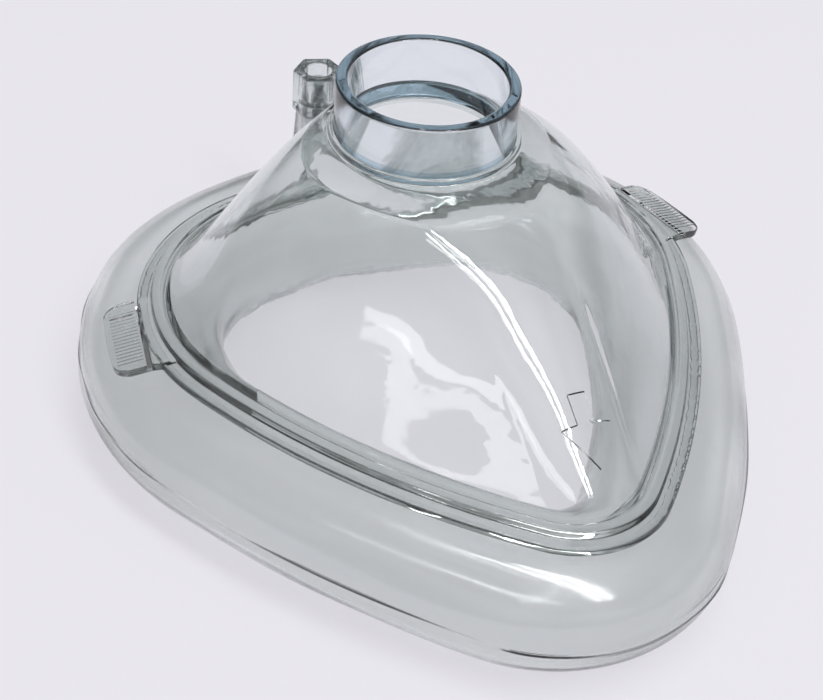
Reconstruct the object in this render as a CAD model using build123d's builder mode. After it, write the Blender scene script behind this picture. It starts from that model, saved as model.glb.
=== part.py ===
"""Air-cushion face mask of a bag valve mask resuscitator, adult size, in millimetres.

Origin: middle of the bounding box, on the table. The patient side faces down (-Z), the
22 mm connector points up (+Z), the nose points to -Y and the chin to +Y. The mask is
symmetric about the YZ plane. Every plan outline is a chain of tangent arcs: nose, side,
corner and chin. An inset outline keeps the same arc centres with smaller radii.
"""

import os
from math import atan2, cos, hypot, pi, radians, sin, sqrt

from build123d import *

os.makedirs("parts", exist_ok=True)

# ---------------------------------------------------------------- driving dimensions

# Cushion: an inflated ring with an elliptical section, flat where it seals and is bonded.
CUSHION_NOSE_Y = -43.45
CUSHION_NOSE_R = 15.0
CUSHION_CORNER_X = 8.6
CUSHION_CORNER_R = 30.8
CUSHION_CHIN_Y = 43.45
CUSHION_CHIN_R = 60.0
CUSHION_SIDE_R = 144.0
CUSHION_HALF_WIDTH = 10.8
CUSHION_HALF_HEIGHT = 9.15
CUSHION_CENTRE_Z = 9.0
CUSHION_TOP_Z = 17.9
CUSHION_WALL = 0.8

# Flange round the foot of the dome.
FLANGE_NOSE_Y = -46.6
FLANGE_NOSE_R = 14.4
FLANGE_CORNER_X = 11.6
FLANGE_CORNER_R = 30.1
FLANGE_CHIN_Y = 41.95
FLANGE_CHIN_R = 100.0
FLANGE_SIDE_R = 120.0
FLANGE_BOTTOM_Z = 18.2
FLANGE_TOP_Z = 19.3
STEP_INSET = 1.9
STEP_TOP_Z = 20.3
FOOT_INSET = 3.9
SHELL_WALL = 1.1
BOND_INSET = 0.25

# Dome between the foot and the socket of the connector.
AXIS_Y = 13.4
CROWN_Z = 43.2
CROWN_R = 14.0
CROWN_WALL = 1.3
SOCKET_OUTER_R = 13.4
SOCKET_TOP_Z = 43.9
LEDGE_R = 11.3
LEDGE_BOTTOM_Z = 40.8
DOME_LEVELS = (0.0, 0.18, 0.36, 0.54, 0.70, 0.84, 0.94, 1.0)

# Fullness of the dome's profile at the side, and what the nose and the chin add to it.
SIDE_RISE = 0.8
NOSE_RISE = 0.3
CHIN_RISE = -0.05
SIDE_ROUND = 1.7
NOSE_ROUND = -0.2
CHIN_ROUND = -0.8

# Points taken on the nose, side, corner and chin arcs for one section of the dome.
SECTION_STEPS = (4, 5, 6, 3)

# Connector collar, 22 mm female.
COLLAR_BORE_R = 11.0
COLLAR_OUTER_R = 12.7
COLLAR_BOTTOM_Z = 41.85
COLLAR_TOP_Z = 51.35
COLLAR_CHAMFER = 0.35

# Strap lugs on the flange, one each side: a level root, a groove, then a pad that slopes down.
LUG_X = 41.6
LUG_Y = 13.55
LUG_TOP_Z = 19.5
LUG_TURN = 11.3
LUG_SLOPE = 12.0
LUG_LENGTH = 14.4
LUG_PAD_WIDTH = 4.9
LUG_ROOT_WIDTH = 3.6
LUG_THICKNESS = 1.3
LUG_CORNER_R = 2.6
LUG_GROOVE_WIDTH = 0.7
LUG_GROOVE_DEPTH = 0.6
LUG_RIB_COUNT = 9
LUG_RIB_HEIGHT = 0.15
LUG_RIB_MARGIN = 0.9

# Inflation valve at the chin.
VALVE_Y = 49.65
NECK_TOP_Z = 25.8
NECK_TOP_R = 3.4
NECK_FOOT_R = 4.1
NECK_FOOT_Z = 10.0
NECK_BORE_R = 2.65
HEX_CIRCUMRADIUS = 4.1
HEX_TURN = 42.0
HEX_TOP_Z = 32.7
SPIGOT_BOTTOM_Z = 20.4
PORT_R = 2.1
PORT_SHOULDER_Z = 31.0
SPRING_WELL_R = 1.7
WEB_TOP_Z = 28.2
WEB_BOTTOM_Z = 27.0
CHAMBER_R = 1.8
VENT_R = 0.25
VENT_PITCH_R = 1.2
VENT_COUNT = 4
STEM_R = 0.70
STEM_CLEARANCE = 0.06
STEM_TOP_Z = 30.9
CAP_R = 1.45
CAP_BOTTOM_Z = 30.2
DISC_R = 1.55
DISC_BOTTOM_Z = 25.3
DISC_TOP_Z = 26.1
SEAL_R = 1.55
SPRING_WIRE_R = 0.14
SPRING_COIL_R = 1.05
SPRING_TURNS = 4
GAP = 0.3

# ---------------------------------------------------------------- outlines


def mask_outline(nose_y, nose_r, corner_x, corner_r, chin_y, chin_r, side_r):
    """Arc centres, radii and the normal angles where the arcs of one half meet."""
    nose = (0.0, nose_y + nose_r)
    chin = (0.0, chin_y - chin_r)
    corner = (corner_x, chin[1] + sqrt((chin_r - corner_r) ** 2 - corner_x**2))
    to_nose = side_r - nose_r
    to_corner = side_r - corner_r
    span = hypot(corner[0] - nose[0], corner[1] - nose[1])
    ux = (corner[0] - nose[0]) / span
    uy = (corner[1] - nose[1]) / span
    along = (to_nose**2 - to_corner**2 + span**2) / (2 * span)
    across = sqrt(to_nose**2 - along**2)
    side = (nose[0] + along * ux - across * uy, nose[1] + along * uy + across * ux)

    def normal_angle(start, end):
        return atan2(end[0] - start[0], start[1] - end[1])

    ends = (
        0.0,
        normal_angle(side, nose),
        normal_angle(side, corner),
        normal_angle(chin, corner),
        pi,
    )
    return ((nose, nose_r), (side, side_r), (corner, corner_r), (chin, chin_r)), ends


CUSHION = mask_outline(
    CUSHION_NOSE_Y,
    CUSHION_NOSE_R,
    CUSHION_CORNER_X,
    CUSHION_CORNER_R,
    CUSHION_CHIN_Y,
    CUSHION_CHIN_R,
    CUSHION_SIDE_R,
)
FLANGE = mask_outline(
    FLANGE_NOSE_Y,
    FLANGE_NOSE_R,
    FLANGE_CORNER_X,
    FLANGE_CORNER_R,
    FLANGE_CHIN_Y,
    FLANGE_CHIN_R,
    FLANGE_SIDE_R,
)


def outline_point(arc, angle, inset):
    """Point of an arc whose outward normal is turned by angle from the nose direction."""
    (centre_x, centre_y), radius = arc
    reach = radius - inset
    return centre_x + reach * sin(angle), centre_y - reach * cos(angle)


def half_outline(outline, inset=0.0):
    """Draw the +X half of an outline, from the nose to the chin, in the current BuildLine."""
    arcs, ends = outline
    for arc, start, end in zip(arcs, ends, ends[1:]):
        ThreePointArc(
            outline_point(arc, start, inset),
            outline_point(arc, (start + end) / 2, inset),
            outline_point(arc, end, inset),
        )


def outline_sketch(outline, inset, height):
    """A whole outline, filled, at a height."""
    with BuildSketch(Plane.XY.offset(height)) as filled:
        with BuildLine():
            half_outline(outline, inset)
            mirror(about=Plane.YZ)
        make_face()
    return filled.sketch


def outline_ring(outline, outer_inset, inner_inset, bottom_z, top_z):
    """A flat ring between two insets of an outline."""
    with BuildPart() as ring:
        extrude(outline_sketch(outline, outer_inset, bottom_z), amount=top_z - bottom_z)
        extrude(
            outline_sketch(outline, inner_inset, bottom_z),
            amount=top_z - bottom_z,
            mode=Mode.SUBTRACT,
        )
    return ring.part


# ---------------------------------------------------------------- dome surface


def dome_profile(angle, level):
    """Share of the way from the crown out to the foot, at a level from 0 foot to 1 crown."""
    nose_share = max(cos(angle), 0.0) ** 2
    chin_share = max(-cos(angle), 0.0) ** 2
    rise = SIDE_RISE + NOSE_RISE * nose_share + CHIN_RISE * chin_share
    round_out = SIDE_ROUND + NOSE_ROUND * nose_share + CHIN_ROUND * chin_share
    return (1.0 - level**rise) ** (1.0 / round_out)


def dome_section(level, wall):
    """Points of one level section of the dome, drawn in by the wall thickness."""
    points = []
    arcs, ends = FLANGE
    for arc, start, end, steps in zip(arcs, ends, ends[1:], SECTION_STEPS):
        for step in range(steps):
            angle = start + (end - start) * step / steps
            foot_x, foot_y = outline_point(arc, angle, FOOT_INSET + wall)
            top_x = (CROWN_R - wall) * sin(angle)
            top_y = AXIS_Y - (CROWN_R - wall) * cos(angle)
            share = dome_profile(angle, level)
            points.append((top_x + (foot_x - top_x) * share, top_y + (foot_y - top_y) * share))
    chin_foot_y = outline_point(arcs[-1], pi, FOOT_INSET + wall)[1]
    chin_top_y = AXIS_Y + CROWN_R - wall
    chin_share = dome_profile(pi, level)
    points.append((0.0, chin_top_y + (chin_foot_y - chin_top_y) * chin_share))
    mirrored = [(-x, y) for x, y in reversed(points[1:-1])]
    return points + mirrored


def dome_sketch(level, wall, height):
    """One level section of the dome, filled, at a height."""
    with BuildSketch(Plane.XY.offset(height)) as section:
        with BuildLine():
            Spline(*dome_section(level, wall), periodic=True)
        make_face()
    return section.sketch


def dome_solid(wall, crown_z):
    """The dome lofted through its level sections, on a straight skirt down to the flange."""
    rise = crown_z - STEP_TOP_Z
    with BuildPart() as dome:
        loft([dome_sketch(level, wall, STEP_TOP_Z + rise * level) for level in DOME_LEVELS])
        extrude(dome_sketch(0.0, wall, STEP_TOP_Z), amount=FLANGE_BOTTOM_Z - STEP_TOP_Z)
    return dome.part


# ---------------------------------------------------------------- cushion


def cushion_ring(growth):
    """Sweep the elliptical section round the outline, larger or smaller by growth."""
    with BuildPart() as ring:
        with BuildLine():
            half_outline(CUSHION)
        with BuildSketch(Plane.YZ) as section:
            with Locations((CUSHION_NOSE_Y, CUSHION_CENTRE_Z)):
                Ellipse(CUSHION_HALF_WIDTH + growth, CUSHION_HALF_HEIGHT + growth)
        sweep()
        split(bisect_by=Plane.XY.offset(-growth), keep=Keep.TOP)
        split(bisect_by=Plane.XY.offset(CUSHION_TOP_Z + growth), keep=Keep.BOTTOM)
        mirror(about=Plane.YZ)
    return ring.part


cushion_body = cushion_ring(0.0)
cushion_air = cushion_ring(-CUSHION_WALL)
cushion_space = cushion_ring(GAP)

with BuildPart() as cushion:
    add(cushion_body)
    add(cushion_air, mode=Mode.SUBTRACT)
    with Locations((0, VALVE_Y, NECK_TOP_Z)):
        Cylinder(
            NECK_BORE_R,
            NECK_TOP_Z - CUSHION_CENTRE_Z,
            align=(Align.CENTER, Align.CENTER, Align.MAX),
            mode=Mode.SUBTRACT,
        )
cushion.part.label = "cushion"
export_step(cushion.part, "parts/cushion.step")

with BuildPart() as cushion_bond:
    add(outline_ring(FLANGE, BOND_INSET, FOOT_INSET, CUSHION_TOP_Z, FLANGE_BOTTOM_Z))
cushion_bond.part.label = "cushion_bond"
export_step(cushion_bond.part, "parts/cushion_bond.step")

# ---------------------------------------------------------------- dome shell


def strap_lug():
    """Grooved and ribbed lug at the +X side of the flange."""
    turn = radians(LUG_TURN)
    slope = radians(LUG_SLOPE)
    hinge = (LUG_X, LUG_Y, LUG_TOP_Z)
    rib_span = LUG_PAD_WIDTH - 2 * LUG_RIB_MARGIN
    rib_pitch = (LUG_LENGTH - 2 * LUG_CORNER_R) / (LUG_RIB_COUNT - 1)
    level = Plane(origin=hinge, x_dir=(cos(turn), sin(turn), 0.0), z_dir=(0.0, 0.0, 1.0))
    sloped = Plane(
        origin=hinge,
        x_dir=(cos(turn) * cos(slope), sin(turn) * cos(slope), -sin(slope)),
        z_dir=(cos(turn) * sin(slope), sin(turn) * sin(slope), cos(slope)),
    )
    with BuildPart() as lug:
        with BuildSketch(sloped):
            with Locations((LUG_PAD_WIDTH / 2 - LUG_CORNER_R, 0)):
                RectangleRounded(LUG_PAD_WIDTH + 2 * LUG_CORNER_R, LUG_LENGTH, LUG_CORNER_R)
            with Locations((-LUG_ROOT_WIDTH, 0)):
                Rectangle(2 * LUG_ROOT_WIDTH, LUG_LENGTH + 2, mode=Mode.SUBTRACT)
        extrude(amount=-LUG_THICKNESS)
        with Locations(sloped.location):
            with Locations((LUG_PAD_WIDTH / 2, 0, 0)):
                with GridLocations(0, rib_pitch, 1, LUG_RIB_COUNT):
                    Box(rib_span, rib_pitch / 2, 2 * LUG_RIB_HEIGHT)
        with BuildSketch(level):
            with Locations((-LUG_ROOT_WIDTH / 2, 0)):
                Rectangle(LUG_ROOT_WIDTH, LUG_LENGTH)
        extrude(amount=-LUG_THICKNESS)
        with Locations(level.location):
            Box(LUG_GROOVE_WIDTH, LUG_LENGTH + 2, 2 * LUG_GROOVE_DEPTH, mode=Mode.SUBTRACT)
    return lug.part


with BuildPart() as dome_shell:
    extrude(outline_sketch(FLANGE, 0.0, FLANGE_BOTTOM_Z), amount=FLANGE_TOP_Z - FLANGE_BOTTOM_Z)
    extrude(outline_sketch(FLANGE, STEP_INSET, FLANGE_TOP_Z), amount=STEP_TOP_Z - FLANGE_TOP_Z)
    add(dome_solid(0.0, CROWN_Z))
    add(dome_solid(SHELL_WALL, CROWN_Z - CROWN_WALL), mode=Mode.SUBTRACT)
    with Locations((0, AXIS_Y, LEDGE_BOTTOM_Z)):
        Cylinder(
            SOCKET_OUTER_R,
            SOCKET_TOP_Z - LEDGE_BOTTOM_Z,
            align=(Align.CENTER, Align.CENTER, Align.MIN),
        )
        Cylinder(
            LEDGE_R,
            SOCKET_TOP_Z - LEDGE_BOTTOM_Z,
            align=(Align.CENTER, Align.CENTER, Align.MIN),
            mode=Mode.SUBTRACT,
        )
    with Locations((0, AXIS_Y, COLLAR_BOTTOM_Z)):
        Cylinder(
            COLLAR_OUTER_R,
            SOCKET_TOP_Z - COLLAR_BOTTOM_Z,
            align=(Align.CENTER, Align.CENTER, Align.MIN),
            mode=Mode.SUBTRACT,
        )
    right_lug = add(strap_lug())
    mirror(right_lug, about=Plane.YZ)
dome_shell.part.label = "dome_shell"
export_step(dome_shell.part, "parts/dome_shell.step")

# ---------------------------------------------------------------- connector collar

with BuildPart() as connector_collar:
    with BuildSketch(Plane.XY.offset(COLLAR_BOTTOM_Z)):
        with Locations((0, AXIS_Y)):
            Circle(COLLAR_OUTER_R)
            Circle(COLLAR_BORE_R, mode=Mode.SUBTRACT)
    extrude(amount=COLLAR_TOP_Z - COLLAR_BOTTOM_Z)
    chamfer(connector_collar.faces().sort_by(Axis.Z)[-1].edges(), COLLAR_CHAMFER)
connector_collar.part.label = "connector_collar"
export_step(connector_collar.part, "parts/connector_collar.step")

# ---------------------------------------------------------------- inflation valve

with BuildPart() as inflation_neck:
    with Locations((0, VALVE_Y, NECK_TOP_Z)):
        Cone(
            NECK_FOOT_R,
            NECK_TOP_R,
            NECK_TOP_Z - NECK_FOOT_Z,
            align=(Align.CENTER, Align.CENTER, Align.MAX),
        )
        Cylinder(
            NECK_BORE_R,
            NECK_TOP_Z - NECK_FOOT_Z,
            align=(Align.CENTER, Align.CENTER, Align.MAX),
            mode=Mode.SUBTRACT,
        )
    add(cushion_space, mode=Mode.SUBTRACT)
inflation_neck.part.label = "inflation_neck"
export_step(inflation_neck.part, "parts/inflation_neck.step")

with BuildPart() as valve_body:
    with BuildSketch(Plane.XY.offset(NECK_TOP_Z)):
        with Locations((0, VALVE_Y)):
            RegularPolygon(HEX_CIRCUMRADIUS, 6, rotation=HEX_TURN)
    extrude(amount=HEX_TOP_Z - NECK_TOP_Z)
    with Locations((0, VALVE_Y, SPIGOT_BOTTOM_Z)):
        Cylinder(
            NECK_BORE_R,
            NECK_TOP_Z - SPIGOT_BOTTOM_Z,
            align=(Align.CENTER, Align.CENTER, Align.MIN),
        )
        Cylinder(
            CHAMBER_R,
            WEB_BOTTOM_Z - SPIGOT_BOTTOM_Z,
            align=(Align.CENTER, Align.CENTER, Align.MIN),
            mode=Mode.SUBTRACT,
        )
    with Locations((0, VALVE_Y, HEX_TOP_Z)):
        Cylinder(
            PORT_R,
            HEX_TOP_Z - PORT_SHOULDER_Z,
            align=(Align.CENTER, Align.CENTER, Align.MAX),
            mode=Mode.SUBTRACT,
        )
        Cylinder(
            SPRING_WELL_R,
            HEX_TOP_Z - WEB_TOP_Z,
            align=(Align.CENTER, Align.CENTER, Align.MAX),
            mode=Mode.SUBTRACT,
        )
    with Locations((0, VALVE_Y, WEB_TOP_Z)):
        Hole(STEM_R + STEM_CLEARANCE, WEB_TOP_Z - WEB_BOTTOM_Z)
        with PolarLocations(VENT_PITCH_R, VENT_COUNT):
            Hole(VENT_R, WEB_TOP_Z - WEB_BOTTOM_Z)
valve_body.part.label = "valve_body"
export_step(valve_body.part, "parts/valve_body.step")

with BuildPart() as valve_stem:
    with Locations((0, VALVE_Y, DISC_BOTTOM_Z)):
        Cylinder(
            DISC_R, DISC_TOP_Z - DISC_BOTTOM_Z, align=(Align.CENTER, Align.CENTER, Align.MIN)
        )
        Cylinder(STEM_R, STEM_TOP_Z - DISC_BOTTOM_Z, align=(Align.CENTER, Align.CENTER, Align.MIN))
valve_stem.part.label = "valve_stem"
export_step(valve_stem.part, "parts/valve_stem.step")

with BuildPart() as valve_seal:
    with Locations((0, VALVE_Y, DISC_TOP_Z)):
        Cylinder(SEAL_R, WEB_BOTTOM_Z - DISC_TOP_Z, align=(Align.CENTER, Align.CENTER, Align.MIN))
        Cylinder(
            STEM_R,
            WEB_BOTTOM_Z - DISC_TOP_Z,
            align=(Align.CENTER, Align.CENTER, Align.MIN),
            mode=Mode.SUBTRACT,
        )
valve_seal.part.label = "valve_seal"
export_step(valve_seal.part, "parts/valve_seal.step")

with BuildPart() as stem_cap:
    with Locations((0, VALVE_Y, CAP_BOTTOM_Z)):
        Cylinder(CAP_R, STEM_TOP_Z - CAP_BOTTOM_Z, align=(Align.CENTER, Align.CENTER, Align.MIN))
        Cylinder(
            STEM_R,
            STEM_TOP_Z - CAP_BOTTOM_Z,
            align=(Align.CENTER, Align.CENTER, Align.MIN),
            mode=Mode.SUBTRACT,
        )
stem_cap.part.label = "stem_cap"
export_step(stem_cap.part, "parts/stem_cap.step")

with BuildPart() as valve_spring:
    spring_height = CAP_BOTTOM_Z - WEB_TOP_Z - 2 * SPRING_WIRE_R
    with BuildLine(Plane.XY.move(Location((0, VALVE_Y, WEB_TOP_Z + SPRING_WIRE_R)))) as coil:
        Helix(spring_height / SPRING_TURNS, spring_height, SPRING_COIL_R)
    with BuildSketch(Plane(origin=coil.line @ 0, z_dir=coil.line % 0)):
        Circle(SPRING_WIRE_R)
    sweep()
valve_spring.part.label = "valve_spring"
export_step(valve_spring.part, "parts/valve_spring.step")
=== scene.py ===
"""Looks of the bag valve mask's face mask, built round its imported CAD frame.

Shapes are worked out in millimetres and turned into metres when a mesh is made.
Materials, camera, floor and lights are in metres.
Plan outlines are chains of tangent arcs, walked by the angle of their outward normal:
0 at the nose (-Y), half a turn at the chin (+Y).
"""

import bmesh
import bpy
import numpy as np
from mathutils import Matrix, Vector, noise


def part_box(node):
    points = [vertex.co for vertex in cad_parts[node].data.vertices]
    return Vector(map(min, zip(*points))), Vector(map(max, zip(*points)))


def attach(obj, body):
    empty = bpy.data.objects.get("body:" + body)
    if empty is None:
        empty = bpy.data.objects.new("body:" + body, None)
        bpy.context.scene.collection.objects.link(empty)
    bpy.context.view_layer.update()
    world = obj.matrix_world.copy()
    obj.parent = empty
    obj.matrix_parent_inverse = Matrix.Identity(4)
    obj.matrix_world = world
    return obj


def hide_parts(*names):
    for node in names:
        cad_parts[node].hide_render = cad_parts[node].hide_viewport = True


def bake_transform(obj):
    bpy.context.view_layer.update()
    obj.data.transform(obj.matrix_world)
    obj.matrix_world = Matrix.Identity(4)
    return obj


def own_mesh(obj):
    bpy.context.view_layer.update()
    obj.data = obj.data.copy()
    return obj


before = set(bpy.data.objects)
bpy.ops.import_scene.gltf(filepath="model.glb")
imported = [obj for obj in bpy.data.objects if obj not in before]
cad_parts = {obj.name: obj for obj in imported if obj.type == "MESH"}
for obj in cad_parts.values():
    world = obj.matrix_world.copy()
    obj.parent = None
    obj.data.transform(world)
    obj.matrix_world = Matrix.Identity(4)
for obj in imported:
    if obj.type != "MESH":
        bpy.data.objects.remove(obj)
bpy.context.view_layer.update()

MM = 0.001
TAU = 2 * np.pi


def box_mm(node):
    """Lowest and highest corner of a CAD node, in millimetres."""
    low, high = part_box(node)
    return np.array(low) / MM, np.array(high) / MM


CUSHION_LOW, CUSHION_HIGH = box_mm("cushion")
COLLAR_LOW, COLLAR_HIGH = box_mm("connector_collar")
NECK_TOP = box_mm("inflation_neck")[1][2]
VALVE_LOW, VALVE_HIGH = box_mm("valve_body")
BOND_LOW, BOND_HIGH = box_mm("cushion_bond")

# ---------------------------------------------------------------- outlines


class Outline:
    """A closed outline of tangent arcs, the same on both sides of the YZ plane."""

    def __init__(self, nose_y, nose_r, corner_x, corner_r, chin_y, chin_r, side_r):
        nose = np.array((0.0, nose_y + nose_r))
        chin = np.array((0.0, chin_y - chin_r))
        corner_y = chin[1] + np.sqrt((chin_r - corner_r) ** 2 - corner_x**2)
        corner = np.array((corner_x, corner_y))
        span = np.hypot(*(corner - nose))
        unit = (corner - nose) / span
        along = ((side_r - nose_r) ** 2 - (side_r - corner_r) ** 2 + span**2) / (2 * span)
        across = np.sqrt((side_r - nose_r) ** 2 - along**2)
        side = nose + along * unit + across * np.array((-unit[1], unit[0]))
        self.centres = np.array((nose, side, corner, chin))
        self.radii = np.array((nose_r, side_r, corner_r, chin_r))
        turns = [self.normal_angle(side, nose), self.normal_angle(side, corner)]
        turns.append(self.normal_angle(chin, corner))
        self.ends = np.array([0.0, *turns, np.pi])

    @staticmethod
    def normal_angle(start, end):
        """Normal angle of the line from one arc's centre through another's."""
        return np.arctan2(end[0] - start[0], start[1] - end[1])

    def points(self, angles, inset=0.0):
        """Points at these normal angles, moved in by inset."""
        angles = np.mod(np.asarray(angles, float), TAU)
        mirrored = angles > np.pi
        folded = np.where(mirrored, TAU - angles, angles)
        arc = np.clip(np.searchsorted(self.ends, folded, side="right") - 1, 0, 3)
        reach = self.radii[arc] - inset
        x = self.centres[arc, 0] + reach * np.sin(folded)
        y = self.centres[arc, 1] - reach * np.cos(folded)
        return np.stack((np.where(mirrored, -x, x), y), -1)

    def even_angles(self, count):
        """Normal angles spaced evenly along the outline, starting at the nose."""
        fine = np.linspace(0.0, TAU, 20001)
        p = self.points(fine)
        run = np.concatenate(([0.0], np.cumsum(np.hypot(*np.diff(p, axis=0).T))))
        return np.interp(np.linspace(0.0, run[-1], count, endpoint=False), run, fine)


CUSHION_HALF_WIDTH = 10.8
CUSHION = Outline(
    nose_y=CUSHION_LOW[1] + CUSHION_HALF_WIDTH,
    nose_r=15.0,
    corner_x=8.6,
    corner_r=30.8,
    chin_y=CUSHION_HIGH[1] - CUSHION_HALF_WIDTH,
    chin_r=60.0,
    side_r=144.0,
)
FLANGE = Outline(
    nose_y=-46.6,
    nose_r=14.4,
    corner_x=11.6,
    corner_r=30.1,
    chin_y=41.95,
    chin_r=100.0,
    side_r=120.0,
)

# ---------------------------------------------------------------- mesh building


def place_object(name, data):
    """A new object in the scene."""
    obj = bpy.data.objects.new(name, data)
    bpy.context.scene.collection.objects.link(obj)
    return obj


def make_object(name, vertices, faces, material, smooth_angle=40.0):
    """A mesh object from millimetre vertices, smooth except at sharp edges."""
    mesh = bpy.data.meshes.new(name)
    mesh.from_pydata((np.asarray(vertices) * MM).tolist(), [], faces)
    bm = bmesh.new()
    bm.from_mesh(mesh)
    bmesh.ops.recalc_face_normals(bm, faces=bm.faces)
    bm.to_mesh(mesh)
    bm.free()
    mesh.shade_smooth()
    mesh.set_sharp_from_angle(angle=np.radians(smooth_angle))
    mesh.materials.append(material)
    return place_object(name, mesh)


def loop_faces(ring_count, column_count, start=0, closed=True):
    """Quads between neighbouring rings, wrapped round the columns, and the rings too if closed."""
    faces = []
    rings = ring_count if closed else ring_count - 1
    for i in range(rings):
        a = start + i * column_count
        b = start + (i + 1) % ring_count * column_count
        for j in range(column_count):
            k = (j + 1) % column_count
            faces.append((a + j, a + k, b + k, b + j))
    return faces


def rounded(points, radius, steps=4):
    """A polyline with its inner corners rounded. A radius for each corner, or one for all."""
    points = np.asarray(points, float)
    radii = np.broadcast_to(radius, len(points))
    out = [points[0]]
    for before, corner, after, r in zip(points, points[1:], points[2:], radii[1:]):
        a = before - corner
        b = after - corner
        length_a = np.hypot(*a)
        length_b = np.hypot(*b)
        cut = min(r, 0.49 * length_a, 0.49 * length_b)
        p = corner + a / length_a * cut
        q = corner + b / length_b * cut
        for t in np.linspace(0.0, 1.0, steps + 1):
            out.append((1 - t) ** 2 * p + 2 * t * (1 - t) * corner + t**2 * q)
    out.append(points[-1])
    return np.array(out)


def rounded_loop(points, radius, steps=4):
    """A closed polygon with rounded corners."""
    points = np.asarray(points, float)
    wrapped = np.concatenate((points[-1:], points, points[:1]))
    radii = np.broadcast_to(radius, len(points))
    padded_radii = np.concatenate((radii[-1:], radii, radii[:1]))
    return rounded(wrapped, padded_radii, steps)[1:-1]


def level_ring(plan, height):
    """A ring of points at one height over a plan."""
    return np.concatenate((plan, np.full((len(plan), 1), height)), -1)


def round_ring(angles, centre_y, radius, height):
    """A level ring about a vertical axis in the YZ plane. The radius may change with the angle."""
    plan = np.stack((radius * np.sin(angles), centre_y - radius * np.cos(angles)), -1)
    return level_ring(plan, height)


def outward(angles):
    """Outward unit normals of a plan outline at these normal angles."""
    return np.stack((np.sin(angles), -np.cos(angles)), -1)


# ---------------------------------------------------------------- materials


class Nodes:
    """A new material with short calls to build its node tree."""

    def __init__(self, name):
        self.material = bpy.data.materials.new(name)
        self.material.use_nodes = True
        self.tree = self.material.node_tree
        self.tree.nodes.clear()
        self.output = self.tree.nodes.new("ShaderNodeOutputMaterial")

    def add(self, kind, **inputs):
        """A node with its inputs set, or linked where the value is another node's output."""
        node = self.tree.nodes.new(kind)
        for key, value in inputs.items():
            socket = node.inputs[key.replace("_", " ")]
            if isinstance(value, bpy.types.NodeSocket):
                self.tree.links.new(value, socket)
            else:
                socket.default_value = value
        return node

    def finish(self, **outputs):
        """Link the shaders to the material's output, and give the material."""
        for key, socket in outputs.items():
            self.tree.links.new(socket, self.output.inputs[key])
        return self.material


def clear_plastic(name, tint, roughness, ripple, ripple_size, depth_tint, depth_density, ior=1.5):
    """Clear moulded plastic: glossy, faintly rippled, and darker where the light path is long.

    The ripple's height and size are in metres. The tint acts at each surface, and the depth
    tint along the way through the plastic.
    """
    fine_scale = 6.0
    fine_share = 0.05
    n = Nodes(name)
    place = n.add("ShaderNodeTexCoord").outputs["Object"]
    flow = n.add("ShaderNodeTexNoise", Vector=place, Scale=1.0 / ripple_size, Detail=0.0)
    fine = n.add("ShaderNodeTexNoise", Vector=place, Scale=fine_scale / ripple_size, Detail=1.0)
    soft_bump = n.add("ShaderNodeBump", Strength=0.6, Distance=ripple, Height=flow.outputs["Fac"])
    bump = n.add(
        "ShaderNodeBump",
        Strength=0.25,
        Distance=ripple * fine_share,
        Height=fine.outputs["Fac"],
        Normal=soft_bump.outputs["Normal"],
    )
    haze = n.add(
        "ShaderNodeMapRange",
        Value=flow.outputs["Fac"],
        From_Min=0.3,
        From_Max=0.7,
        To_Min=roughness * 0.6,
        To_Max=roughness * 1.5,
    )
    shader = n.add(
        "ShaderNodeBsdfPrincipled",
        Base_Color=(*tint, 1.0),
        IOR=ior,
        Transmission_Weight=1.0,
        Roughness=haze.outputs["Result"],
        Normal=bump.outputs["Normal"],
    )
    depth = n.add("ShaderNodeVolumeAbsorption", Color=(*depth_tint, 1.0), Density=depth_density)
    return n.finish(Surface=shader.outputs["BSDF"], Volume=depth.outputs["Volume"])


def opaque(name, colour, roughness, metallic=0.0, grain=0.00002, grain_size=0.0004):
    """A solid material with a fine grain, in metres, and slight colour variation."""
    dark_share = 0.85
    n = Nodes(name)
    place = n.add("ShaderNodeTexCoord").outputs["Object"]
    speckle = n.add("ShaderNodeTexNoise", Vector=place, Scale=1.0 / grain_size, Detail=3.0)
    shade = n.add("ShaderNodeValToRGB", Fac=speckle.outputs["Fac"])
    shade.color_ramp.elements[0].color = (*[c * dark_share for c in colour], 1.0)
    shade.color_ramp.elements[1].color = (*colour, 1.0)
    bump = n.add("ShaderNodeBump", Strength=0.4, Distance=grain, Height=speckle.outputs["Fac"])
    shader = n.add(
        "ShaderNodeBsdfPrincipled",
        Base_Color=shade.outputs["Color"],
        Roughness=roughness,
        Metallic=metallic,
        Normal=bump.outputs["Normal"],
    )
    return n.finish(Surface=shader.outputs["BSDF"])


def band_tint(material, height, upper, lower, blur=0.1):
    """Tint a clear plastic one way above a height, in millimetres, and another way below it."""
    tree = material.node_tree
    shader = tree.nodes["Principled BSDF"]
    place = tree.nodes.new("ShaderNodeTexCoord")
    split = tree.nodes.new("ShaderNodeSeparateXYZ")
    edge = tree.nodes.new("ShaderNodeMapRange")
    ramp = tree.nodes.new("ShaderNodeValToRGB")
    tree.links.new(place.outputs["Object"], split.inputs["Vector"])
    tree.links.new(split.outputs["Z"], edge.inputs["Value"])
    edge.inputs["From Min"].default_value = (height - blur) * MM
    edge.inputs["From Max"].default_value = (height + blur) * MM
    tree.links.new(edge.outputs["Result"], ramp.inputs["Fac"])
    ramp.color_ramp.elements[0].color = (*lower, 1.0)
    ramp.color_ramp.elements[1].color = (*upper, 1.0)
    tree.links.new(ramp.outputs["Color"], shader.inputs["Base Color"])


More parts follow.
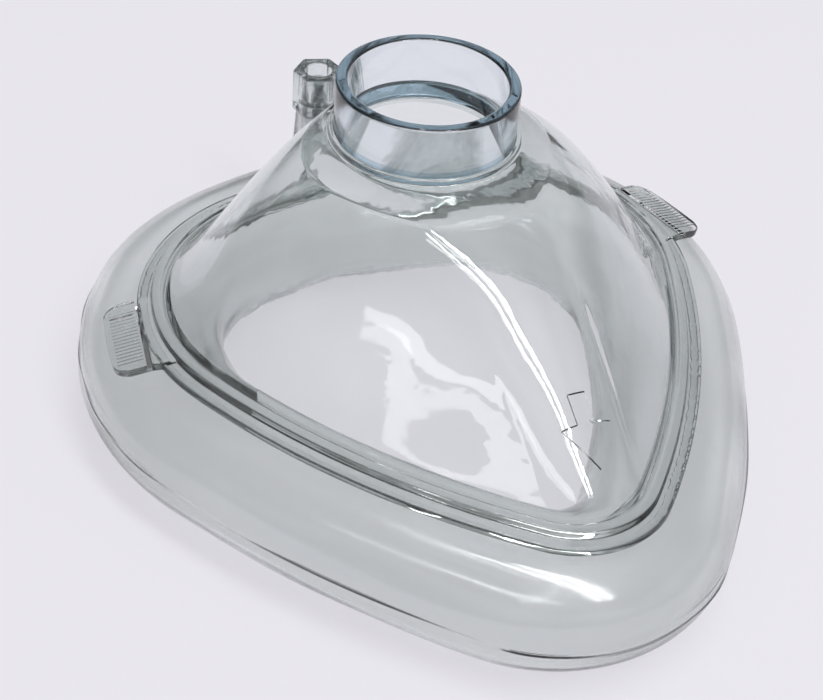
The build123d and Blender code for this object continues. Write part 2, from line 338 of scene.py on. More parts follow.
DOME_PVC = clear_plastic(
    "dome_pvc",
    tint=(0.982, 0.99, 0.988),
    roughness=0.03,
    ripple=0.0011,
    ripple_size=0.013,
    depth_tint=(0.38, 0.51, 0.49),
    depth_density=85.0,
)
COLLAR_TINT = (0.97, 0.985, 0.995)
# Painted shade: below this height, where the collar sits in the socket, the clear plastic gets a
# darker blue tint that stands in for the shade seen there.
COLLAR_PAINTED_SHADE_TINT = (0.50, 0.64, 0.73)
COLLAR_SHADE_BAND_HEIGHT = 44.2
COLLAR_PLASTIC = clear_plastic(
    "collar_polycarbonate",
    tint=COLLAR_TINT,
    roughness=0.045,
    ripple=0.0001,
    ripple_size=0.012,
    depth_tint=(0.25, 0.50, 0.66),
    depth_density=60.0,
    ior=1.58,
)
# The collar's darker lower band is painted shade, not a colour of its own.
band_tint(COLLAR_PLASTIC, COLLAR_SHADE_BAND_HEIGHT, COLLAR_TINT, COLLAR_PAINTED_SHADE_TINT)
CUSHION_FILM = clear_plastic(
    "cushion_film",
    tint=(0.960, 0.972, 0.966),
    roughness=0.12,
    ripple=0.0006,
    ripple_size=0.018,
    depth_tint=(0.42, 0.54, 0.49),
    depth_density=110.0,
)
VALVE_PLASTIC = clear_plastic(
    "valve_plastic",
    tint=(0.90, 0.93, 0.93),
    roughness=0.20,
    ripple=0.00005,
    ripple_size=0.003,
    depth_tint=(0.45, 0.56, 0.56),
    depth_density=45.0,
)
BOND = clear_plastic(
    "bond_line",
    tint=(0.97, 0.98, 0.98),
    roughness=0.12,
    ripple=0.0001,
    ripple_size=0.002,
    depth_tint=(0.6, 0.6, 0.6),
    depth_density=60.0,
)
STEM_PLASTIC = opaque("stem_plastic", (0.42, 0.46, 0.47), 0.35)
SEAL_RUBBER = opaque("seal_rubber", (0.62, 0.64, 0.63), 0.6)
SPRING_STEEL = opaque("spring_steel", (0.62, 0.63, 0.65), 0.25, metallic=1.0)

# ---------------------------------------------------------------- cushion

CUSHION_FILM_WALL = 0.70
CUSHION_HALF_HEIGHT = 9.15
CUSHION_CENTRE_Z = 9.0
CUSHION_POWER = 2.15
CUSHION_FLAT_SOFTNESS = 0.15
SEAM_HEIGHT = 0.30
SEAM_SPREAD = np.radians(1.6)
SEAM_TURN = np.radians(12.0)
SEAM_DROP_TO_NOSE = np.radians(14.0)
SWELL = 0.22
SWELL_SCALE = 0.06
SWELL_ROUND_SCALE = 3.0


def soft_limit(value, limit, softness):
    """Value held below limit, with a rounded approach."""
    return limit - softness * np.logaddexp(0.0, (limit - value) / softness)


def cushion_rings(angles, inflate, section_count):
    """Rings of the cushion's surface, each one lengthwise at an angle round the tube.

    The section is a superellipse, cut flat above and below, with a seam round the outside.
    """
    normals = outward(angles)
    line = CUSHION.points(angles)
    seam = SEAM_TURN - SEAM_DROP_TO_NOSE * np.cos(angles)
    rings = []
    for turn in np.linspace(0.0, TAU, section_count, endpoint=False):
        c = np.cos(turn)
        s = np.sin(turn)
        fit = (np.abs(c) ** CUSHION_POWER + np.abs(s) ** CUSHION_POWER) ** (-1.0 / CUSHION_POWER)
        out = (CUSHION_HALF_WIDTH + inflate) * fit * c
        up = CUSHION_CENTRE_Z + (CUSHION_HALF_HEIGHT + inflate) * fit * s
        off_seam = (turn + np.pi) % TAU - np.pi - seam
        ridge = SEAM_HEIGHT * np.exp(-((off_seam / SEAM_SPREAD) ** 2))
        bulge = np.array([film_swell(p, turn) for p in line])
        reach = out + (ridge + bulge) * c
        height = np.full(len(angles), up) + bulge * s
        height = soft_limit(height, CUSHION_HIGH[2] + inflate, CUSHION_FLAT_SOFTNESS)
        height = -soft_limit(-height, inflate, CUSHION_FLAT_SOFTNESS)
        rings.append(np.concatenate((line + normals * reach[:, None], height[:, None]), -1))
    return rings


def film_swell(point, turn):
    """Slight uneven swelling of the blown film."""
    x, y = point * SWELL_SCALE
    return SWELL * noise.noise(Vector((x, y, SWELL_ROUND_SCALE * np.sin(turn))))


def build_cushion():
    """The inflated ring, as a closed film with the air's hollow inside it."""
    angles = CUSHION.even_angles(300)
    section = 96
    outer = cushion_rings(angles, 0.0, section)
    inner = cushion_rings(angles, -CUSHION_FILM_WALL, section)
    count = len(angles)
    faces = loop_faces(section, count)
    faces += [tuple(reversed(f)) for f in loop_faces(section, count, start=section * count)]
    vertices = np.concatenate(outer + inner)
    obj = make_hollow("cushion_skin", vertices, faces, section * count, CUSHION_FILM)
    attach(obj, "cushion_ring")
    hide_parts("cushion")
    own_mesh(obj)


def make_hollow(name, vertices, faces, outer_count, material):
    """A closed skin with a closed hollow: the hollow's faces look into the hollow."""
    mesh = bpy.data.meshes.new(name)
    mesh.from_pydata((np.asarray(vertices) * MM).tolist(), [], faces)
    bm = bmesh.new()
    bm.from_mesh(mesh)
    outer = [f for f in bm.faces if f.verts[0].index < outer_count]
    inner = [f for f in bm.faces if f.verts[0].index >= outer_count]
    bmesh.ops.recalc_face_normals(bm, faces=outer)
    bmesh.ops.recalc_face_normals(bm, faces=inner)
    bmesh.ops.reverse_faces(bm, faces=inner)
    bm.to_mesh(mesh)
    bm.free()
    mesh.shade_smooth()
    mesh.materials.append(material)
    return place_object(name, mesh)


build_cushion()

# ---------------------------------------------------------------- dome shell

AXIS_Y = (COLLAR_LOW[1] + COLLAR_HIGH[1]) / 2
FLANGE_BOTTOM = BOND_HIGH[2]
FLANGE_TOP = FLANGE_BOTTOM + 1.1
STEP_TOP = FLANGE_TOP + 1.0
SOCKET_TOP = 43.9
CROWN = 43.2
CROWN_R = 14.0
SOCKET_OUTER_R = 13.4
COLLAR_R = (COLLAR_HIGH[0] - COLLAR_LOW[0]) / 2
COLLAR_BOTTOM = COLLAR_LOW[2]
LEDGE_R = 11.3
LEDGE_BOTTOM = COLLAR_BOTTOM - 1.05
FOOT_INSET = 3.9
WALL = 1.1
CROWN_WALL = 1.3
STEP_BOTTOM_INSET = 1.9
STEP_TOP_INSET = 2.1
GROOVE_INSETS = (3.1, 3.45, 3.7)
GROOVE_DEPTHS = (0.0, 0.3, 0.25)
COLLAR_GAP = 0.03
COLLAR_SEAT_GAP = 0.05
LEDGE_FOOT_INSET = 0.6
SHARP_ANGLE = 50.0
SIDE_RISE = 0.8
NOSE_RISE_CHANGE = 0.3
CHIN_RISE_CHANGE = -0.05
SIDE_ROUND = 1.7
NOSE_ROUND_CHANGE = -0.2
CHIN_ROUND_CHANGE = -0.8


def dome_share(angles, level):
    """Share of the way out from the crown to the foot, at a level from 0 foot to 1 crown."""
    nose_share = np.maximum(np.cos(angles), 0.0) ** 2
    chin_share = np.maximum(-np.cos(angles), 0.0) ** 2
    rise = SIDE_RISE + NOSE_RISE_CHANGE * nose_share + CHIN_RISE_CHANGE * chin_share
    round_out = SIDE_ROUND + NOSE_ROUND_CHANGE * nose_share + CHIN_ROUND_CHANGE * chin_share
    return (1.0 - level**rise) ** (1.0 / round_out)


def dome_ring(angles, level, wall, crown):
    """One ring of the dome's surface, drawn in by the wall."""
    foot = FLANGE.points(angles, FOOT_INSET + wall)
    top = np.array((0.0, AXIS_Y)) + (CROWN_R - wall) * outward(angles)
    plan = top + (foot - top) * dome_share(angles, level)[:, None]
    return level_ring(plan, STEP_TOP + (crown - STEP_TOP) * level)


def flange_profile():
    """The flange's section as (inset, height), from inside the foot to the dome's start."""
    step_top = [(i, STEP_TOP - depth) for i, depth in zip(GROOVE_INSETS, GROOVE_DEPTHS)]
    return rounded(
        [
            (FOOT_INSET + WALL, STEP_TOP),
            (FOOT_INSET + WALL, FLANGE_BOTTOM),
            (0.0, FLANGE_BOTTOM),
            (0.0, FLANGE_TOP),
            (STEP_BOTTOM_INSET, FLANGE_TOP),
            (STEP_TOP_INSET, STEP_TOP),
            *step_top,
            (FOOT_INSET, STEP_TOP),
        ],
        [0.3, 0.3, 0.25, 0.3, 0.25, 0.35, 0.3, 0.2, 0.15, 0.1],
    )


def socket_profile():
    """The upstand's section as (radius, height), from the crown over the rim to the ledge."""
    return rounded(
        [
            (CROWN_R, CROWN),
            (SOCKET_OUTER_R, CROWN),
            (SOCKET_OUTER_R, SOCKET_TOP),
            (COLLAR_R + COLLAR_GAP, SOCKET_TOP),
            (COLLAR_R + COLLAR_GAP, COLLAR_BOTTOM - COLLAR_SEAT_GAP),
            (LEDGE_R, COLLAR_BOTTOM - COLLAR_SEAT_GAP),
            (LEDGE_R, LEDGE_BOTTOM),
            (SOCKET_OUTER_R - LEDGE_FOOT_INSET, LEDGE_BOTTOM),
        ],
        [0.2, 0.5, 0.25, 0.1, 0.1, 0.15, 0.2, 0.2],
    )


def build_dome():
    """Flange, dome, upstand and the dome's inside in one closed skin, then lugs and pointer."""
    angles = FLANGE.even_angles(480)
    # The rings lie closer together towards the crown, where the dome turns in.
    levels = 1.0 - (1.0 - np.linspace(0.0, 1.0, 90)[1:]) ** 1.5
    inner = [dome_ring(angles, level, WALL, CROWN - CROWN_WALL) for level in levels[::-2]]
    rings = [level_ring(FLANGE.points(angles, inset), z) for inset, z in flange_profile()]
    rings += [dome_ring(angles, level, 0.0, CROWN) for level in levels]
    rings += [round_ring(angles, AXIS_Y, r, z) for r, z in socket_profile()[1:]]
    rings += [ring for ring in inner if ring[0, 2] < LEDGE_BOTTOM]
    faces = loop_faces(len(rings), len(angles))
    shell = make_object("dome_skin", np.concatenate(rings), faces, DOME_PVC, SHARP_ANGLE)
    for side in (1, -1):
        unite(shell, build_lug(side))
    unite(shell, build_pointer(shell))
    shell.data.shade_smooth()
    shell.data.set_sharp_from_angle(angle=np.radians(SHARP_ANGLE))
    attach(shell, "mask_shell")
    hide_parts("dome_shell")


LUG_X = 41.6
LUG_Y = 13.55
LUG_TOP = FLANGE_TOP + 0.2
LUG_TURN = np.radians(11.3)
LUG_SLOPE = np.radians(12.0)
LUG_LENGTH = 14.4
LUG_PAD_WIDTH = 4.9
LUG_ROOT_WIDTH = 3.6
LUG_THICKNESS = 1.22
LUG_PAD_BOW = 0.35
LUG_PAD_OVERLAP = 0.6
LUG_ROOT_OVERLAP = 0.3
LUG_EDGE = 0.18
LUG_ROOT_EDGE = 0.12
LUG_GROOVE_WIDTH = 0.75
LUG_GROOVE_HEIGHT = 1.2
LUG_GROOVE_OVERRUN = 2
RIB_COUNT = 17
RIB_START = -5.6
RIB_PITCH = 0.70
RIB_WIDTH = 0.34
RIB_HEIGHT = 0.22
RIB_INSET = 0.5
RIB_MARGIN = 0.15
RIB_LENGTH = LUG_PAD_WIDTH - 2 * (RIB_INSET + RIB_MARGIN)


def lug_placer(side, slope):
    """Matrix from a lug's own axes, with its hinge line as Y, to the mask."""
    reach = np.cos(slope)
    out = Vector((np.cos(LUG_TURN) * reach, np.sin(LUG_TURN) * reach, -np.sin(slope)))
    along = Vector((-np.sin(LUG_TURN), np.cos(LUG_TURN), 0.0))
    axes = Matrix((out, along, out.cross(along))).transposed().to_4x4()
    mirrored = Matrix.Diagonal((side, 1.0, 1.0, 1.0))
    return mirrored @ Matrix.Translation((LUG_X, LUG_Y, LUG_TOP)) @ axes


def plate(outline, thickness, placer, edge):
    """A flat plate with its rims softened by edge, hanging below its outline."""
    bm = bmesh.new()
    top = [bm.verts.new((x, y, 0.0)) for x, y in outline]
    bottom = [bm.verts.new((x, y, -thickness)) for x, y in outline]
    bm.faces.new(bottom)
    bm.faces.new(top)
    for i in range(len(outline)):
        j = (i + 1) % len(outline)
        bm.faces.new((bottom[i], bottom[j], top[j], top[i]))
    rim = [e for e in bm.edges if abs(e.verts[0].co.z - e.verts[1].co.z) < 1e-6]
    bmesh.ops.bevel(bm, geom=rim, offset=edge, segments=3, profile=0.5, affect="EDGES")
    return finish_tool(bm, placer)


def finish_tool(bm, placer):
    """Place a tool mesh on the mask, in metres, with its normals outward."""
    bmesh.ops.transform(bm, matrix=Matrix.Scale(MM, 4) @ placer, verts=bm.verts)
    bmesh.ops.recalc_face_normals(bm, faces=bm.faces)
    mesh = bpy.data.meshes.new("tool")
    bm.to_mesh(mesh)
    bm.free()
    return place_object("tool", mesh)


def block(x, y, width, length, height, placer):
    """A small block with softened edges, centred on the plate's top, for a groove or a rib."""
    bm = bmesh.new()
    bmesh.ops.create_cube(bm, size=1.0)
    bmesh.ops.scale(bm, vec=(width, length, height), verts=bm.verts)
    soft = 0.2 * min(width, length, height)
    bmesh.ops.bevel(bm, geom=bm.edges[:], offset=soft, segments=2, profile=0.5, affect="EDGES")
    bmesh.ops.translate(bm, vec=(x, y, 0.0), verts=bm.verts)
    return finish_tool(bm, placer)


def build_lug(side):
    """A strap lug: level root, groove, and a sloping ribbed pad with rounded outer corners."""
    half = LUG_LENGTH / 2
    level = lug_placer(side, 0.0)
    sloped = lug_placer(side, LUG_SLOPE)
    pad_outline = rounded_loop(
        [
            (-LUG_PAD_OVERLAP, -half),
            (LUG_PAD_WIDTH, -half),
            (LUG_PAD_WIDTH + LUG_PAD_BOW, 0.0),
            (LUG_PAD_WIDTH, half),
            (-LUG_PAD_OVERLAP, half),
        ],
        [0.3, 2.4, 6.0, 2.4, 0.3],
        steps=8,
    )
    root_outline = [
        (-LUG_ROOT_WIDTH, -half),
        (LUG_ROOT_OVERLAP, -half),
        (LUG_ROOT_OVERLAP, half),
        (-LUG_ROOT_WIDTH, half),
    ]
    lug = plate(pad_outline, LUG_THICKNESS, sloped, LUG_EDGE)
    root = plate(root_outline, LUG_THICKNESS, level, LUG_ROOT_EDGE)
    apply_boolean(lug, root, "UNION")
    groove_length = LUG_LENGTH + LUG_GROOVE_OVERRUN
    groove = block(0.0, 0.0, LUG_GROOVE_WIDTH, groove_length, LUG_GROOVE_HEIGHT, level)
    apply_boolean(lug, groove, "DIFFERENCE")
    rib_x = RIB_INSET + RIB_LENGTH / 2 + RIB_MARGIN
    for k in range(RIB_COUNT):
        rib = block(rib_x, RIB_START + RIB_PITCH * k, RIB_LENGTH, RIB_WIDTH, RIB_HEIGHT, sloped)
        apply_boolean(lug, rib, "UNION")
    return lug


POINTER_TAIL_Y = -30.3
POINTER_TIP_Y = -38.4
POINTER_X = 0.8
POINTER_RELIEF = 0.30
POINTER_DEPTH = 0.7
POINTER_SHAFT_HALF_WIDTH = 1.25
POINTER_HEAD_HALF_WIDTH = 3.6
POINTER_TIP_HALF_WIDTH = 0.05
POINTER_SHAFT_END = 0.40
POINTER_HEAD_START = 0.402
ABOVE_MASK = 60.0


def pointer_rows():
    """Rows across the pointer: share of its length, and half width there."""
    rows = [(t, POINTER_SHAFT_HALF_WIDTH) for t in np.linspace(0.0, POINTER_SHAFT_END, 10)]
    for t in np.linspace(0.0, 1.0, 14):
        share = POINTER_HEAD_START + (1.0 - POINTER_HEAD_START) * t
        rows.append((share, POINTER_HEAD_HALF_WIDTH * (1.0 - t) + POINTER_TIP_HALF_WIDTH * t))
    return rows


def build_pointer(shell):
    """A raised arrow on the dome, towards the nose: rows of points laid on the dome."""
    bpy.context.view_layer.update()
    length = POINTER_TAIL_Y - POINTER_TIP_Y
    rows = pointer_rows()
    width = 9
    top = []
    for t, half_width in rows:
        for u in np.linspace(-1.0, 1.0, width):
            x = POINTER_X + u * half_width
            y = POINTER_TAIL_Y - t * length
            place = shell.ray_cast(Vector((x, y, ABOVE_MASK)) * MM, Vector((0, 0, -1)))[1]
            top.append((x, y, place.z / MM + POINTER_RELIEF))
    bm = bmesh.new()
    upper = [bm.verts.new(p) for p in top]
    lower = [bm.verts.new((x, y, z - POINTER_DEPTH)) for x, y, z in top]
    for i in range(len(rows) - 1):
        for j in range(width - 1):
            k = i * width + j
            quad = (k, k + 1, k + width + 1, k + width)
            bm.faces.new([upper[n] for n in quad])
            bm.faces.new([lower[n] for n in reversed(quad)])
    last = (len(rows) - 1) * width
    rim = list(range(width))
    rim += [i * width + width - 1 for i in range(1, len(rows))]
    rim += [last + j for j in range(width - 2, -1, -1)]
    rim += [i * width for i in range(len(rows) - 2, 0, -1)]
    for a, b in zip(rim, rim[1:] + rim[:1]):
        bm.faces.new((upper[a], lower[a], lower[b], upper[b]))
    return finish_tool(bm, Matrix.Identity(4))


def apply_boolean(target, tool, operation):
    """Apply one exact boolean and remove the tool."""
    modifier = target.modifiers.new("join", "BOOLEAN")
    modifier.operation = operation
    modifier.solver = "EXACT"
    modifier.object = tool
    depsgraph = bpy.context.evaluated_depsgraph_get()
    result = bpy.data.meshes.new_from_object(target.evaluated_get(depsgraph))
    target.modifiers.clear()
    old = target.data
    target.data = result
    bpy.data.meshes.remove(old)
    bpy.data.objects.remove(tool)


def unite(target, tool):
    """Join a tool to a finished skin, in the skin's material."""
    tool.data.materials.append(target.data.materials[0])
    apply_boolean(target, tool, "UNION")


build_dome()

# ---------------------------------------------------------------- connector collar

COLLAR_BORE_R = 11.0


def build_collar():
    """The connector's ring, with rounded rims."""
    profile = rounded_loop(
        [
            (COLLAR_BORE_R, COLLAR_HIGH[2]),
            (COLLAR_R, COLLAR_HIGH[2]),
            (COLLAR_R, COLLAR_LOW[2]),
            (COLLAR_BORE_R, COLLAR_LOW[2]),
        ],
        [0.45, 0.45, 0.2, 0.2],
        steps=6,
    )
    turn = np.linspace(0.0, TAU, 192, endpoint=False)
    rings = [round_ring(turn, AXIS_Y, r, z) for r, z in profile]
    faces = loop_faces(len(rings), len(turn))
    obj = make_object("collar_ring", np.concatenate(rings), faces, COLLAR_PLASTIC)
    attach(obj, "mask_shell")
    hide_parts("connector_collar")


build_collar()

# ---------------------------------------------------------------- inflation neck and valve

VALVE_Y = 49.65
NECK_TOP_R = 3.4
NECK_BORE_R = 2.7
NECK_TAPER = 0.5
NECK_FLARE = 0.75
NECK_FOOT_GAP = 0.15
NECK_TOP_GAP = 0.05
HEX_R = 4.1
HEX_CORNER_CUT = 0.12
HEX_SEAT_GAP = 0.02
HEX_TURN = np.radians(12.0)
HEX_BOTTOM = NECK_TOP
HEX_TOP = VALVE_HIGH[2]
SPIGOT_R = 2.62
SPIGOT_BOTTOM = VALVE_LOW[2]
SPIGOT_BORE_R = 2.0
PORT_R = 2.1
PORT_CHAMFER_WIDTH = 0.12
PORT_CHAMFER_DEPTH = 0.15
WEB_TOP = HEX_TOP - 4.5
WEB_BOTTOM = WEB_TOP - 1.2
GUIDE_R = 0.76


def cushion_height(x, y):
    """Height of the cushion's outer upper surface above a point of the plan, near the chin."""
    centre = CUSHION.centres[3]
    across = np.hypot(x - centre[0], y - centre[1]) - CUSHION.radii[3]
    ratio = np.clip(1.0 - (abs(across) / CUSHION_HALF_WIDTH) ** CUSHION_POWER, 0.0, 1.0)
    height = CUSHION_CENTRE_Z + CUSHION_HALF_HEIGHT * ratio ** (1 / CUSHION_POWER)
    return min(height, CUSHION_HIGH[2])


def neck_ring(angles, radius, share):
    """A ring of the neck, from the cushion's surface at share 0 to level below the hexagon at 1."""
    x = radius * np.sin(angles)
    y = VALVE_Y - radius * np.cos(angles)
    foot = np.array([cushion_height(a, b) for a, b in zip(x, y)]) + NECK_FOOT_GAP
    z = foot + (HEX_BOTTOM - NECK_TOP_GAP - foot) * share
    return np.stack((x, y, z), -1)


def build_neck():
    """The conical tube from the cushion to the valve, flared at its foot and bored through."""
    angles = np.linspace(0.0, TAU, 96, endpoint=False)
    shares = np.linspace(0.0, 1.0, 14)
    radii = NECK_TOP_R + NECK_TAPER * (1 - shares) + NECK_FLARE * (1.0 - shares) ** 4
    rings = [neck_ring(angles, radius, share) for radius, share in zip(radii, shares)]
    rings += [neck_ring(angles, NECK_BORE_R, share) for share in shares[::-1]]
    faces = loop_faces(len(rings), len(angles))
    obj = make_object("neck_tube", np.concatenate(rings), faces, CUSHION_FILM)
    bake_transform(obj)
    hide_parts("inflation_neck")


def build_valve_body():
    """Hexagonal head on a round spigot, bored from the top and from below to a web between."""
    angles = np.linspace(0.0, TAU, 144, endpoint=False)
    sector = (angles - HEX_TURN) % (TAU / 6) - TAU / 12
    apothem = HEX_R * np.cos(TAU / 12)
    hexagon = np.minimum(apothem / np.cos(sector), HEX_R - HEX_CORNER_CUT)
    lower_edge = ((0.25, 0.0), (0.07, 0.07), (0.0, 0.25))
    upper_edge = ((0.0, 0.3), (0.08, 0.08), (0.3, 0.0))
    top_groove = ((2.95, 0.0), (2.85, 0.12), (2.62, 0.12), (2.5, 0.0))
    section = [
        (SPIGOT_R, SPIGOT_BOTTOM),
        (SPIGOT_R, HEX_BOTTOM - HEX_SEAT_GAP),
        *((hexagon - inset, HEX_BOTTOM + rise) for inset, rise in lower_edge),
        *((hexagon - inset, HEX_TOP - drop) for inset, drop in upper_edge),
        *((radius, HEX_TOP - depth) for radius, depth in top_groove),
        (PORT_R + PORT_CHAMFER_WIDTH, HEX_TOP),
        (PORT_R, HEX_TOP - PORT_CHAMFER_DEPTH),
        (PORT_R, WEB_TOP),
        (GUIDE_R, WEB_TOP),
        (GUIDE_R, WEB_BOTTOM),
        (SPIGOT_BORE_R, WEB_BOTTOM),
        (SPIGOT_BORE_R, SPIGOT_BOTTOM),
    ]
    rings = [round_ring(angles, VALVE_Y, radius, z) for radius, z in section]
    faces = loop_faces(len(rings), len(angles))
    obj = make_object("valve_housing", np.concatenate(rings), faces, VALVE_PLASTIC, 30.0)
    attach(obj, "mask_shell")
    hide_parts("valve_body")


build_neck()
build_valve_body()

# ---------------------------------------------------------------- bond line

BEAD_INSET = 0.95
BEAD_HALF_WIDTH = 0.55
BEAD_GAP = 0.04


def uneven(line, size, scale, level):
    """Smooth ups and downs of about this size along a plan outline."""
    return np.array([size * noise.noise(Vector((x * scale, y * scale, level))) for x, y in line])


def build_bond():
    """The bead of adhesive between cushion and flange, of uneven width."""
    angles = FLANGE.even_angles(900)
    middle = (BOND_LOW[2] + BOND_HIGH[2]) / 2
    half_height = (BOND_HIGH[2] - BOND_LOW[2]) / 2 - BEAD_GAP
    line = FLANGE.points(angles)
    swell = uneven(line, size=0.12, scale=0.9, level=0.0)
    beads = uneven(line, size=0.14, scale=2.6, level=5.0)
    half_width = BEAD_HALF_WIDTH + swell + beads
    rings = []
    for turn in np.linspace(0.0, TAU, 12, endpoint=False):
        plan = FLANGE.points(angles, BEAD_INSET - half_width * np.cos(turn))
        rings.append(level_ring(plan, middle + half_height * np.sin(turn)))
    faces = loop_faces(len(rings), len(angles))
    obj = make_object("bond_bead", np.concatenate(rings), faces, BOND)
    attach(obj, "mask_shell")
    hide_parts("cushion_bond")


build_bond()

# ---------------------------------------------------------------- valve's inner parts

WIRE_R = 0.14
WIRE_SIDES = 10
COIL_TURNS = 4
STEPS_PER_TURN = 36


def build_spring():
    """The valve's return spring: a wire helix with capped ends."""
    low, high = box_mm("valve_spring")
    coil = (high[0] - low[0]) / 2 - WIRE_R
    bottom = low[2] + WIRE_R
    rise = high[2] - low[2] - 2 * WIRE_R
    up = np.array((0.0, 0.0, 1.0))
    turn = np.linspace(0.0, TAU, WIRE_SIDES, endpoint=False)
    rings = []
    for share in np.linspace(0.0, 1.0, COIL_TURNS * STEPS_PER_TURN + 1):
        a = TAU * COIL_TURNS * share
        centre = np.array((coil * np.sin(a), VALVE_Y - coil * np.cos(a), bottom + rise * share))
        out = np.array((np.sin(a), -np.cos(a), 0.0))
        rings.append(centre + WIRE_R * (np.cos(turn)[:, None] * out + np.sin(turn)[:, None] * up))
    faces = loop_faces(len(rings), WIRE_SIDES, closed=False)
    faces.append(tuple(range(WIRE_SIDES)))
    faces.append(tuple(len(rings) * WIRE_SIDES - 1 - k for k in range(WIRE_SIDES)))
    obj = make_object("return_spring", np.concatenate(rings), faces, SPRING_STEEL)
    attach(obj, "mask_shell")
    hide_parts("valve_spring")
    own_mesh(obj)


build_spring()

for node, material in (
    ("valve_stem", STEM_PLASTIC),
    ("stem_cap", STEM_PLASTIC),
    ("valve_seal", SEAL_RUBBER),
):
    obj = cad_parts[node]
    obj.data.materials.clear()
    obj.data.materials.append(material)

# ---------------------------------------------------------------- camera

VIEW_AZIMUTH = np.radians(-28.99)
VIEW_ELEVATION = np.radians(39.94)
VIEW_ROLL = np.radians(5.0)
VIEW_DISTANCE = 0.220
VIEW_CENTRE = Vector((-0.01189, -0.00979, 0.02541))
LENS = 72.16


def build_camera():
    """The camera, with a small roll about the line that it looks along."""
    az, el, roll = VIEW_AZIMUTH, VIEW_ELEVATION, VIEW_ROLL
    back = Vector((np.sin(az) * np.cos(el), -np.cos(az) * np.cos(el), np.sin(el)))
    level_right = Vector((np.cos(az), np.sin(az), 0.0))
    level_up = back.cross(level_right)
    right = np.cos(roll) * level_right + np.sin(roll) * level_up
    up = back.cross(right)
    data = bpy.data.cameras.new("camera")
    data.lens = LENS
    data.sensor_width = 36.0
    data.clip_start = 0.01
    camera = place_object("camera", data)
    axes = Matrix((right, up, back)).transposed().to_4x4()
    camera.matrix_world = Matrix.Translation(VIEW_CENTRE + back * VIEW_DISTANCE) @ axes
    bpy.context.scene.camera = camera


build_camera()

# ---------------------------------------------------------------- floor and light

LIT_POINT = Vector((0.0, 0.0, 0.02))
STRIP_LENGTH = 0.9
STRIP_ALONG = (0.25, -0.97, 0)
WINDOW_ALONG = (0.8, -0.6, 0)


def build_floor():
    """A pale floor just below the mask, partly glowing, so that shadows on it stay faint."""
    reach = 8.0
    height = -0.00005
    mesh = bpy.data.meshes.new("floor")
    corners = [(-reach, -reach), (reach, -reach), (reach, reach), (-reach, reach)]
    mesh.from_pydata([(x, y, height) for x, y in corners], [], [(0, 1, 2, 3)])
    floor = place_object("floor", mesh)
    n = Nodes("floor")
    shader = n.add(
        "ShaderNodeBsdfPrincipled",
        Base_Color=(0.22, 0.215, 0.23, 1.0),
        Roughness=0.9,
        Emission_Color=(0.805, 0.79, 0.84, 1.0),
        Emission_Strength=0.765,
    )
    mesh.materials.append(n.finish(Surface=shader.outputs["BSDF"]))


def build_light(name, location, along, length, width, power):
    """A strip light that faces the mask, with its long side along a direction."""
    data = bpy.data.lights.new(name, "AREA")
    data.shape = "RECTANGLE"
    data.size = length
    data.size_y = width
    data.energy = power
    light = place_object(name, data)
    back = (Vector(location) - LIT_POINT).normalized()
    across = back.cross(Vector(along)).normalized()
    axes = Matrix((across.cross(back), across, back)).transposed().to_4x4()
    light.matrix_world = Matrix.Translation(Vector(location)) @ axes


def world_bands(tree, direction):
    """Level bands by height: pale at the horizon, half way up and overhead, darker between."""
    split = tree.nodes.new("ShaderNodeSeparateXYZ")
    ramp = tree.nodes.new("ShaderNodeValToRGB")
    tree.links.new(direction, split.inputs["Vector"])
    tree.links.new(split.outputs["Z"], ramp.inputs["Fac"])
    blue = 1.03
    stops = [
        (0.0, 0.85),
        (0.05, 0.60),
        (0.10, 0.20),
        (0.16, 0.18),
        (0.30, 0.62),
        (0.46, 0.70),
        (0.60, 0.25),
        (0.80, 0.45),
        (1.0, 0.90),
    ]
    for position, _ in stops[1:-1]:
        ramp.color_ramp.elements.new(position)
    for element, (position, level) in zip(ramp.color_ramp.elements, stops):
        element.position = position
        element.color = (level, level, level * blue, 1.0)
    return ramp.outputs["Color"]


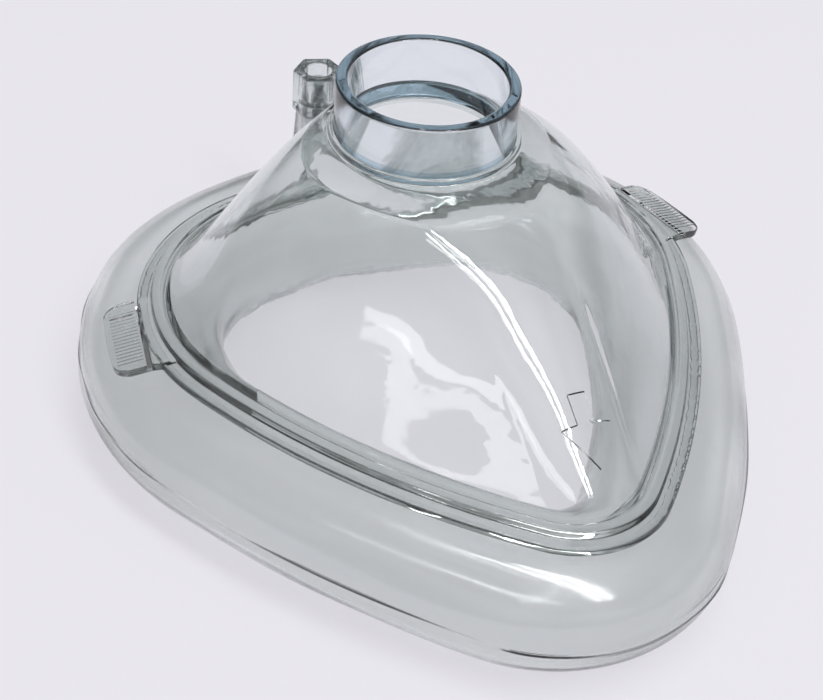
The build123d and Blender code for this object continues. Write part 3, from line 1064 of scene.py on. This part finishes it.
def world_patches(tree, direction):
    """Strength in large soft patches."""
    patches = tree.nodes.new("ShaderNodeTexNoise")
    patches.inputs["Scale"].default_value = 2.6
    patches.inputs["Detail"].default_value = 1.5
    tree.links.new(direction, patches.inputs["Vector"])
    strength = tree.nodes.new("ShaderNodeMapRange")
    strength.inputs["From Min"].default_value = 0.38
    strength.inputs["From Max"].default_value = 0.62
    strength.inputs["To Min"].default_value = 0.35
    strength.inputs["To Max"].default_value = 1.15
    tree.links.new(patches.outputs["Fac"], strength.inputs["Value"])
    return strength.outputs["Result"]


def world_side(tree, direction):
    """Strength that grows towards +X and the nose."""
    facing = tree.nodes.new("ShaderNodeVectorMath")
    facing.operation = "DOT_PRODUCT"
    facing.inputs[1].default_value = (0.35, -0.30, 0.0)
    tree.links.new(direction, facing.inputs[0])
    side = tree.nodes.new("ShaderNodeMath")
    side.operation = "ADD"
    side.inputs[1].default_value = 0.85
    tree.links.new(facing.outputs["Value"], side.inputs[0])
    return side.outputs["Value"]


def build_world():
    """A studio of light and dark for the clear plastic to pick up."""
    world = bpy.data.worlds.new("studio")
    world.use_nodes = True
    tree = world.node_tree
    background = tree.nodes["Background"]
    direction = tree.nodes.new("ShaderNodeTexCoord").outputs["Generated"]
    tree.links.new(world_bands(tree, direction), background.inputs["Color"])
    strength = tree.nodes.new("ShaderNodeMath")
    strength.operation = "MULTIPLY"
    tree.links.new(world_patches(tree, direction), strength.inputs[0])
    tree.links.new(world_side(tree, direction), strength.inputs[1])
    tree.links.new(strength.outputs["Value"], background.inputs["Strength"])
    bpy.context.scene.world = world


build_floor()
build_world()
build_light("strip_left", (0.03, -0.30, 0.88), STRIP_ALONG, STRIP_LENGTH, width=0.03, power=2.2)
build_light("strip_right", (0.12, -0.28, 0.87), STRIP_ALONG, STRIP_LENGTH, width=0.035, power=2.8)
build_light("window", (-0.50, -0.42, 0.72), WINDOW_ALONG, STRIP_LENGTH, width=0.06, power=0.8)

scene = bpy.context.scene
scene.view_settings.view_transform = "Standard"
scene.cycles.max_bounces = 32
scene.cycles.transmission_bounces = 32
scene.cycles.transparent_max_bounces = 16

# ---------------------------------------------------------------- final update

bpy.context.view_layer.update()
